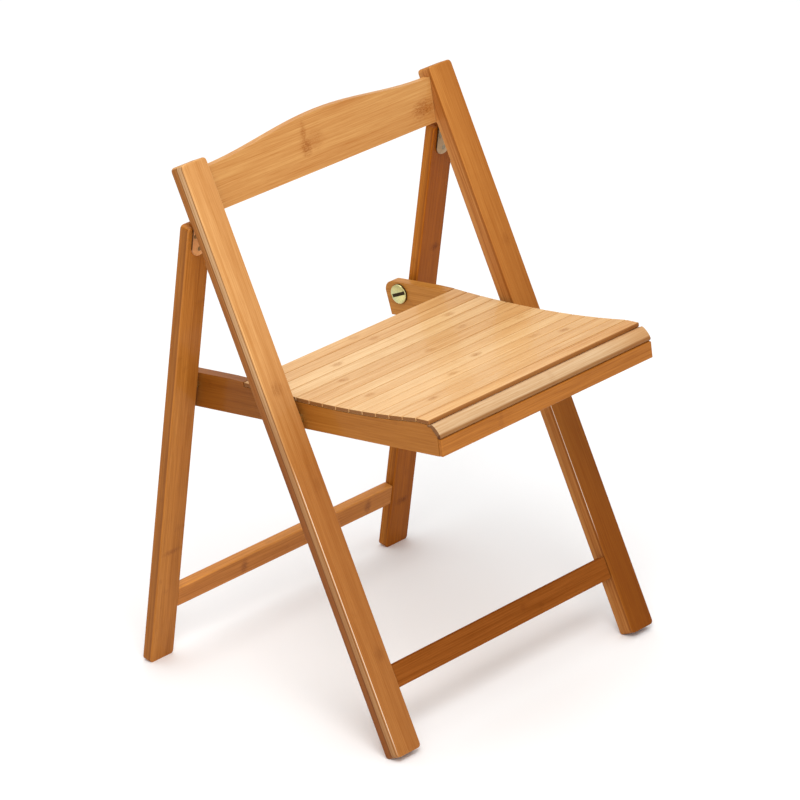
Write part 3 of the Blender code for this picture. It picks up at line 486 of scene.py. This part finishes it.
# ------------------------------------------------------------------ metals
def metal_material(name, tones, roughness, brushed=0.5, grime=0.5, shade=None):
    """Plated metal with uneven plating, fine scratches and dull spots, and painted shade where a
    shade mask is given.
    """
    mat, t, shader = new_material(name)
    spot = t.node("ShaderNodeTexCoord").outputs["Object"]
    x, y, z = t.split(spot)
    drift = t.noise(spot, 95.0, 3.0, 0.6, 0.8)
    cloud = t.noise(spot, 320.0, 2.0, 0.5)
    scratch = t.noise(t.stretched((x, y, z), (700.0, 5200.0, 900.0)), 1.0, 3.0, 0.65)
    colour = t.mix(t.ramp(drift, 0.38, 0.62), tones[0], tones[1])
    colour = t.mix(t.ramp(cloud, 0.55, 0.75, 0.0, 0.55), colour, tones[2])
    dirt = t.ramp(t.noise(spot, 540.0, 4.0, 0.7), 0.60, 0.78, 0.0, grime)
    colour = t.mix(dirt, colour, GRIME)
    # painted shade where shade falls: slot, rim or leaf edges
    if shade:
        colour = t.mix(shade(t, x, y, z), colour, PAINTED_SHADE_TONE)
    t.put(shader.inputs["Base Color"], colour)
    rough = t.plus(roughness, t.swing(scratch, 0.25 * brushed))
    rough = t.plus(rough, t.times(dirt, 0.35), clamp=True)
    t.put(shader.inputs["Roughness"], rough)
    shader.inputs["Metallic"].default_value = 1.0
    relief(t, shader, t.plus(scratch, t.times(cloud, 0.6)), 0.25, 0.05 * MM)
    return mat


def bolt_shade(t, x, y, z):
    """Painted shade in the slot of a bolt's head and round its rim.

    x runs along the bolt from its middle; the head is at -X.
    """
    reach = t.math("SQRT", t.plus(t.times(y, y), t.times(z, z)))
    sunk = t.times(t.ramp(x, -10.25 * MM, -9.7 * MM), t.ramp(x, -8.0 * MM, -7.0 * MM, 1.0, 0.0))
    slot = t.times(sunk, t.ramp(reach, 9.3 * MM, 9.9 * MM, 1.0, 0.0))
    rim = t.ramp(reach, 10.6 * MM, 10.95 * MM, 0.0, 0.9)
    return t.math("MAXIMUM", slot, rim)


def mirrored_bolt_shade(t, x, y, z):
    """The same for a bolt whose head is at +X."""
    return bolt_shade(t, t.times(x, -1.0), y, z)


def leaf_shade(t, x, y, z):
    """Shadowed rim along the two long edges of a thin hinge leaf."""
    return t.times(t.ramp(t.size(x), 10.3 * MM, 10.95 * MM), 0.75)


ZINC_ROUGHNESS = 0.24
ZINC = metal_material("yellow_zinc", ZINC_TONES, ZINC_ROUGHNESS)
BOLTS = {side: metal_material("yellow_zinc_slotted_" + side, ZINC_TONES, ZINC_ROUGHNESS,
                              shade=shade)
         for side, shade in zip(SIDES, (mirrored_bolt_shade, bolt_shade))}
GOLDS = {side: metal_material("hinge_plating_" + side, GOLD_TONES_BY_LIGHT[side], 0.42, 0.7, 0.7, leaf_shade)
         for side in SIDES}
STEEL = metal_material("screw_steel", DARK_STEEL, 0.34, 0.6, 0.8)
BRASS = metal_material("brass", BRASS_TONES, 0.28)


# ------------------------------------------------------------------ pieces
BODY_OF = {node: body for body, nodes in frame["record"]["behaviour"]["bodies"].items()
           for node in nodes}


def lean(angle):
    """Turn that tips +Z towards +Y by an angle."""
    return Matrix.Rotation(-angle, 4, "X")


WELD = 0.002 * MM                   # vertices closer than this are merged
FLAT = math.radians(0.4)            # faces closer in angle than this become one
WOOD_SMOOTH = 50.0                  # edges under this angle in degrees are shaded round
METAL_SMOOTH = 32.0
GAP_REACH = 1.2 * MM                # how far down the apron's rear edge counts as its top
GAP_LIFT = 0.6 * MM


def carry(node, name, turn, smooth):
    """Finished copy of a CAD node: its own axes along the piece, its origin at the middle.

    turn takes the piece's own axes to the chair's; edges under smooth degrees are shaded round.
    Returns the piece and half its size along its own axes.
    """
    source = frame["nodes"][node]
    mesh = source.data.copy()
    mesh.materials.clear()
    mesh.transform(turn.inverted())
    low = Vector((min(v.co[i] for v in mesh.vertices) for i in range(3)))
    high = Vector((max(v.co[i] for v in mesh.vertices) for i in range(3)))
    middle = (low + high) / 2
    mesh.transform(Matrix.Translation(-middle))
    bm = bmesh.new()
    bm.from_mesh(mesh)
    bmesh.ops.remove_doubles(bm, verts=bm.verts, dist=WELD)
    bmesh.ops.dissolve_limit(bm, angle_limit=FLAT, verts=bm.verts, edges=bm.edges)
    bm.to_mesh(mesh)
    bm.free()
    if mesh.has_custom_normals:
        mesh.attributes.remove(mesh.attributes["custom_normal"])
    mesh.shade_smooth()
    mesh.set_sharp_from_angle(angle=math.radians(smooth))
    piece = bpy.data.objects.new(name, mesh)
    bpy.context.scene.collection.objects.link(piece)
    piece.matrix_world = turn @ Matrix.Translation(middle)
    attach(piece, BODY_OF[node])
    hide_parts(node)
    return piece, (high - low) / 2


def wood(node, turn, grain, look):
    """Bamboo piece from a CAD node."""
    piece, half = carry(node, "wood_" + node, turn, WOOD_SMOOTH)
    weigh = piece.modifiers.new("Weighted", "WEIGHTED_NORMAL")
    weigh.keep_sharp = True
    piece.data.materials.append(bamboo_material("bamboo_" + node, look, grain, half))
    return piece


def close_gap(mesh):
    """Lift the rear top edge of the apron, so that no light shows between it and the nose slat."""
    top = max(vertex.co.z for vertex in mesh.vertices)
    for vertex in mesh.vertices:
        if vertex.co.y > 0.0 and vertex.co.z > top - GAP_REACH:
            vertex.co.z += GAP_LIFT


# Tables by side. Tints, painted shade towards one end, spans, painted shade on one side and marks
# are explained in Look.
STILE_MARKS = {"left": ((0.074, 0.0, 0.009, 0.009, 0.65), (-0.03, 0.006, 0.008, 0.006, 0.35),
                        (-0.214, 0.006, 0.009, 0.008, 0.55)),
               "right": ((0.12, 0.004, 0.008, 0.006, 0.4),)}
# the right stile's darker tint is painted shade
STILE_SHADE_TINT = {"left": PLAIN, "right": (0.75, 0.57, 0.33)}
# painted shade: stiles darker towards the foot; the left stile's lighter upper part is a painted
# sheen
STILE_SHADE_FALL = {"left": (0.65, 0.50, 0.33), "right": (0.51, 0.37, 0.11)}
STILE_SPAN = {"left": (-0.10, 0.42), "right": (-0.95, 0.85)}
STILE_SIDE_SHADE_FALL = {"left": 0.8, "right": 0.3}
# painted highlight along the stiles' front -X edges
STILE_EDGE_HIGHLIGHT = {"left": (-0.97, -0.05, 0.70), "right": (-0.62, -0.12, 0.75)}
STILE_PLY_TINTS_AND_LIGHT = {"left": (STILE_OUTER, STILE_INNER), "right": (STILE_INNER, STILE_OUTER)}
LEG_MARKS = {"left": ((-0.128, 0.0, 0.0035, 0.014, 0.70),),
             "right": ((0.112, 0.006, 0.006, 0.008, 0.80), (-0.205, 0.0, 0.005, 0.012, 0.80))}
# the right leg's darker tint is painted shade
LEG_SHADE_TINT = {"left": (0.93, 0.92, 0.84), "right": (0.73, 0.56, 0.20)}
LEG_PLY_TINTS_AND_LIGHT = {"left": (LEG_OUTER, LEG_INNER), "right": (LEG_INNER, LEG_OUTER)}
# painted shade and light: the left rail's outer face darker, the right rail's inner face lighter
RAIL_LIGHT_TINT = {"left": (0.80, 0.80, 0.72), "right": (1.02, 1.15, 1.25)}
# painted shade: the left rail darker towards one end
RAIL_SHADE_FALL = {"left": (0.72, 0.62, 0.45), "right": PLAIN}
UPRIGHT_COAT = {"left": 0.16, "right": 0.05}
# painted shade: the stiles and legs darker towards +X
UPRIGHT_SIDE_SHADE = (-1.0, 1.0, 0.22)

BACKREST_MARKS = ((-0.0275, 0.012, 0.0046, 0.014, 0.8), (-0.0250, -0.002, 0.0100, 0.011, 0.95),
                  (-0.012, 0.002, 0.014, 0.012, 0.45), (0.150, -0.012, 0.019, 0.011, 1.0))
REAR_STRETCHER_MARKS = ((-0.066, 0.0, 0.006, 0.009, 0.9), (0.127, 0.0, 0.006, 0.009, 0.9))
SLAT_MARK_SIZE = (0.0085, 0.0050)   # length and height of a node on a slat


def uprights_and_rails(stile, leg, seat):
    """The two stiles, rear legs and seat rails."""
    for number, side in enumerate(SIDES):
        wood("stile_" + side, stile, "xyz", Look(
            STRAW, seed=3.1 + 4.7 * number, strip=0.0085, layer=0.0063, knots=0.12, spacing=0.31,
            marks=STILE_MARKS[side], tint=STILE_SHADE_TINT[side], ply_tints_and_light=STILE_PLY_TINTS_AND_LIGHT[side],
            shade_fall=STILE_SHADE_FALL[side], span=STILE_SPAN[side], side_shade_fall=STILE_SIDE_SHADE_FALL[side],
            side_shade=UPRIGHT_SIDE_SHADE, coat=UPRIGHT_COAT[side], edge_highlight=STILE_EDGE_HIGHLIGHT[side]))
        wood("rear_leg_" + side, leg, "xyz", Look(
            AMBER, seed=7.9 + 3.3 * number, strip=0.0085, layer=0.0062, knots=0.25, spacing=0.27,
            marks=LEG_MARKS[side], tint=LEG_SHADE_TINT[side], ply_tints_and_light=LEG_PLY_TINTS_AND_LIGHT[side],
            side_shade=UPRIGHT_SIDE_SHADE, coat=UPRIGHT_COAT[side], knot=DARK_KNOT))
        wood("seat_rail_" + side, seat, "zxy", Look(
            AMBER, seed=12.4 + 2.9 * number, strip=0.0098, layer=0.012, knots=0.25, spacing=0.26,
            tint=RAIL_LIGHT_TINT[side], shade_fall=RAIL_SHADE_FALL[side], span=(0.6, -0.2), knot=DARK_KNOT))


def cross_members(stile, leg, back):
    """The two stretchers and the backrest board."""
    wood("front_stretcher", stile, "zyx", Look(
        AMBER, seed=21.7, strip=0.0075, layer=0.006, knots=0.25, spacing=0.29,
        tint=(0.52, 0.40, 0.36), coat=0.0, gloss=0.0, knot=DARK_KNOT))
    # rear stretcher: painted light on its top edge, painted shade on the face below
    wood("rear_stretcher", leg, "zyx", Look(
        AMBER, seed=24.2, strip=0.0075, layer=0.006, knots=0.2, spacing=0.3,
        marks=REAR_STRETCHER_MARKS, tint=(1.22, 1.30, 1.50), side_shade=(0.93, 0.80, 0.5),
        knot=DARK_KNOT))
    wood("backrest_board", back, "zyx", Look(
        HONEY, seed=31.3, strip=0.0105, layer=0.0092, knots=0.05, spacing=0.33,
        marks=BACKREST_MARKS, glue=0.22, knot=BACK_KNOT))


def seat_panel(seat):
    """The slats, the nose slat and the apron."""
    for number in range(1, SLAT_COUNT + 1):
        marks = [(place, 0.0, *SLAT_MARK_SIZE, strength)
                 for slat, place, strength in SLAT_MARKS if slat == number]
        front_shadow = (-0.86, -0.95, 0.78) if number == SLAT_COUNT else None
        # painted shade: slats darker towards their +X ends; slat 14's front edge is a painted
        # shadow
        wood("seat_slat_%02d" % number, seat, "yzx", Look(
            blend(PALE, HONEY, SLAT_WARMTH[number - 1]), seed=40.0 + 1.37 * number, strip=0.045,
            layer=0.009, knots=0.10, spacing=0.185, marks=marks, shade_fall=(0.93, 0.87, 0.76),
            span=(0.9, -0.3), side_shade=front_shadow, ends=1.0, contrast=1.15, knot=PALE_KNOT,
            seam=0.45))
    nose = seat @ Matrix.Rotation(NOSE_TURN, 4, "X")
    # nose: its pale pinkish tint is a painted sheen; its lower part and its +X end are darkened as
    # painted shade
    wood("seat_nose_slat", nose, "yzx", Look(
        blend(PALE, HONEY, 0.40), seed=63.1, strip=0.045, layer=0.009, knots=0.2, spacing=0.24,
        tint=(0.87, 0.95, 1.16), shade_fall=(0.90, 0.76, 0.60), span=(0.98, 0.45),
        side_shade=(-0.52, -0.78, 1.0), ends=1.0, coat=0.2))
    apron = wood("seat_apron", seat, "zyx", Look(
        AMBER, seed=66.6, strip=0.03, layer=0.009, knots=0.25, spacing=0.25,
        tint=(0.85, 0.78, 0.62), knot=DARK_KNOT))
    close_gap(apron.data)


def wooden_parts():
    """All bamboo members with their own grain, tone and marks."""
    stile = lean(STILE_LEAN)
    leg = lean(-LEG_LEAN)
    seat = Matrix.Rotation(-SEAT_PITCH, 4, "X")
    uprights_and_rails(stile, leg, seat)
    cross_members(stile, leg, lean(BACK_LEAN))
    seat_panel(seat)


def metal_parts():
    """Hinges, bolts, spacers and screws."""
    for node in sorted(frame["nodes"]):
        if not node.startswith(("hinge_", "pivot_", "slide_")):
            continue
        turn = Matrix.Identity(4)
        if "leaf_leg" in node or "screw_leg" in node:
            turn = lean(-LEG_LEAN)
        elif "leaf_stile" in node or "screw_stile" in node:
            turn = lean(STILE_LEAN)
        piece, _ = carry(node, "metal_" + node, turn, METAL_SMOOTH)
        side = "left" if "_left" in node else "right"
        material = ZINC
        if "screw" in node:
            material = STEEL
        elif node.startswith("hinge_"):
            material = GOLDS[side]
        elif "insert" in node:
            material = BRASS
        elif node.startswith("slide_"):
            material = BOLTS[side]
        piece.data.materials.append(material)


def hidden_dowels():
    """The glued dowels stay as CAD nodes with a plain beech grain."""
    look = Look(BEECH, seed=5.0, strip=0.02, layer=0.02, knots=0.0, spacing=0.5)
    material = bamboo_material("beech_dowel", look, "yzx", (0.02, 0.02, 0.02))
    for name, node in frame["nodes"].items():
        if "dowel" in name:
            node.data.materials.clear()
            node.data.materials.append(material)


# ------------------------------------------------------------------- stage
FLOOR_SIZE = 24.0
WORLD_STRENGTH = 0.74
# area lights: name, place, target, size, watts
LIGHTS = (("key", (-0.85, -0.90, 1.80), (0.0, 0.0, 0.30), (1.0, 1.0), 20.0),
          ("top", (0.2, 0.6, 2.6), (0.0, 0.2, 0.0), (2.0, 2.0), 18.0),
          ("backdrop", (2.0, 1.9, 1.7), (2.0, 1.9, 0.0), (2.6, 2.6), 11.0),
          ("edge", (-1.9, -1.2, 0.75), (0.0, 0.0, 0.3), (0.30, 1.3), 4.0))


def floor():
    """Plain pale floor."""
    bpy.ops.mesh.primitive_plane_add(size=FLOOR_SIZE, location=(0.0, 0.0, 0.0))
    plane = bpy.context.object
    plane.name = "floor"
    mat, t, shader = new_material("floor_white")
    cloud = t.noise(t.node("ShaderNodeTexCoord").outputs["Object"], 1.5, 2.0)
    t.put(shader.inputs["Base Color"], t.mix(cloud, *FLOOR_TONES))
    shader.inputs["Roughness"].default_value = 0.9
    shader.inputs["Specular IOR Level"].default_value = 0.1
    plane.data.materials.append(mat)


def area_light(name, place, target, size, watts):
    """White rectangular light at a place, turned to its target."""
    data = bpy.data.lights.new(name, "AREA")
    data.shape = "RECTANGLE"
    data.size, data.size_y = size
    data.energy = watts
    lamp = bpy.data.objects.new(name, data)
    bpy.context.scene.collection.objects.link(lamp)
    lamp.location = place
    away = Vector(place) - Vector(target)
    lamp.rotation_euler = away.to_track_quat("Z", "Y").to_euler()


def lights():
    """Close soft key from the upper left, soft top light, slim edge light, even floor behind."""
    world = bpy.data.worlds.new("surround")
    bpy.context.scene.world = world
    world.use_nodes = True
    background = world.node_tree.nodes["Background"]
    background.inputs["Color"].default_value = (1.0, 1.0, 1.0, 1.0)
    background.inputs["Strength"].default_value = WORLD_STRENGTH
    for light in LIGHTS:
        area_light(*light)


def camera():
    """Camera at the fitted view."""
    level = math.cos(CAMERA_ELEVATION)
    back = Vector((math.sin(CAMERA_AZIMUTH) * level, -math.cos(CAMERA_AZIMUTH) * level,
                   math.sin(CAMERA_ELEVATION)))
    right = Vector((math.cos(CAMERA_AZIMUTH), math.sin(CAMERA_AZIMUTH), 0.0))
    up = back.cross(right)
    side = right * math.cos(CAMERA_ROLL) + up * math.sin(CAMERA_ROLL)
    top = up * math.cos(CAMERA_ROLL) - right * math.sin(CAMERA_ROLL)
    data = bpy.data.cameras.new("camera")
    data.lens = CAMERA_LENS
    data.sensor_width = CAMERA_SENSOR
    data.clip_end = CAMERA_CLIP_END
    holder = bpy.data.objects.new("camera", data)
    bpy.context.scene.collection.objects.link(holder)
    turn = Matrix((side, top, back)).transposed().to_4x4()
    holder.matrix_world = Matrix.Translation(CAMERA_TARGET + back * CAMERA_DISTANCE) @ turn
    bpy.context.scene.camera = holder


def main():
    wooden_parts()
    metal_parts()
    hidden_dowels()
    floor()
    lights()
    camera()
    bpy.context.scene.view_settings.view_transform = "Standard"
    bpy.context.view_layer.update()


main()
